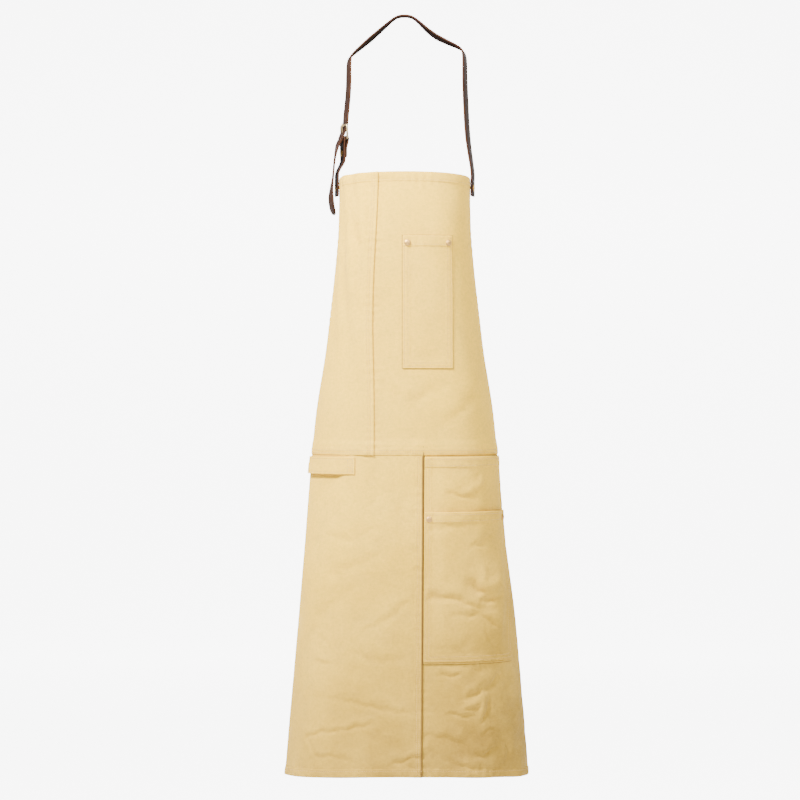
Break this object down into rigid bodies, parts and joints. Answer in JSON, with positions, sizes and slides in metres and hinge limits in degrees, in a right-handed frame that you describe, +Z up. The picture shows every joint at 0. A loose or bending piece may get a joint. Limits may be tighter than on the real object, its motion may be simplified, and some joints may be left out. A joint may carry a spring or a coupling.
{
  "type": "apron",
  "caption": "Canvas work apron with a tall bib, flared wrap skirt, layered pockets, towel loop, buckled leather neck strap and hanging leather waist straps",
  "frame": {"origin": "Underside of the neck strap at the nape, where it rests on the wearer's neck or on a hook", "axes": "+Z up along the hanging apron, the front faces -Y, +X to the right of someone looking at the front"},
  "size_m": [0.3569, 0.2047, 1.142],
  "materials": {
    "canvas": "matte",
    "pocket_canvas": "matte",
    "strap_leather": "satin",
    "buckle_brass": "satin",
    "rivet_brass": "satin"
  },
  "bodies": {
    "neck_loop": {"neck_strap": "strap_leather", "neck_buckle_strap": "strap_leather", "neck_fold_rivet": "rivet_brass", "bib_corner_rivet_left": "rivet_brass", "bib_corner_rivet_right": "rivet_brass"},
    "neck_tail": {"neck_strap_tail": "strap_leather"},
    "neck_buckle": {"neck_buckle_frame": "buckle_brass"},
    "neck_prong": {"neck_buckle_prong": "buckle_brass"},
    "apron": {"bib_left_panel": "canvas", "bib_right_panel": "canvas", "bib_top_facing": "canvas", "skirt_left_panel": "canvas", "skirt_right_panel": "canvas", "bib_pocket": "pocket_canvas", "hand_pocket": "pocket_canvas", "tool_pocket": "pocket_canvas", "towel_loop": "pocket_canvas", "bib_pocket_rivet_left": "rivet_brass", "bib_pocket_rivet_right": "rivet_brass", "tool_pocket_rivet_left": "rivet_brass", "tool_pocket_rivet_right": "rivet_brass", "waist_rivet_left": "rivet_brass", "waist_rivet_right": "rivet_brass"},
    "long_waist_strap": {"waist_strap_long": "strap_leather"},
    "short_waist_strap": {"waist_strap_short": "strap_leather", "waist_fold_rivet": "rivet_brass"},
    "waist_buckle": {"waist_buckle_frame": "buckle_brass"},
    "waist_prong": {"waist_buckle_prong": "buckle_brass"}
  },
  "joints": [
    {"name": "bib_swing", "type": "hinge", "parent": "neck_loop", "child": "apron", "pos_m": [0, -0.06637, -0.2645], "axis": [1, 0, 0], "range_deg": [-40, 40]},
    {"name": "tail_swing", "type": "hinge", "parent": "neck_loop", "child": "neck_tail", "pos_m": [-0.09652, -0.06465, -0.1914], "axis": [-0.342, 0.9397, 0], "range_deg": [0, 60]},
    {"name": "neck_buckle_tilt", "type": "hinge", "parent": "neck_loop", "child": "neck_buckle", "pos_m": [-0.08938, -0.06206, -0.191], "axis": [0.342, -0.9397, 0], "range_deg": [0, 6]},
    {"name": "neck_prong_lift", "type": "hinge", "parent": "neck_buckle", "child": "neck_prong", "pos_m": [-0.08938, -0.06206, -0.191], "axis": [0.342, -0.9397, 0], "range_deg": [0, 8]},
    {"name": "long_waist_strap_swing", "type": "hinge", "parent": "apron", "child": "long_waist_strap", "pos_m": [0.1021, 0.03451, -0.676], "axis": [0.6085, 0.7935, 0], "range_deg": [-8, 100]},
    {"name": "short_waist_strap_swing", "type": "hinge", "parent": "apron", "child": "short_waist_strap", "pos_m": [-0.1021, 0.03451, -0.676], "axis": [-0.6085, 0.7935, 0], "range_deg": [-80, 8]},
    {"name": "waist_buckle_swing", "type": "hinge", "parent": "short_waist_strap", "child": "waist_buckle", "pos_m": [-0.0979, 0.02903, -0.781], "axis": [0.7935, 0.6085, 0], "range_deg": [-70, 12]},
    {"name": "waist_prong_lift", "type": "hinge", "parent": "waist_buckle", "child": "waist_prong", "pos_m": [-0.0979, 0.02903, -0.781], "axis": [0.7935, 0.6085, 0], "range_deg": [0, 16]}
  ]
}
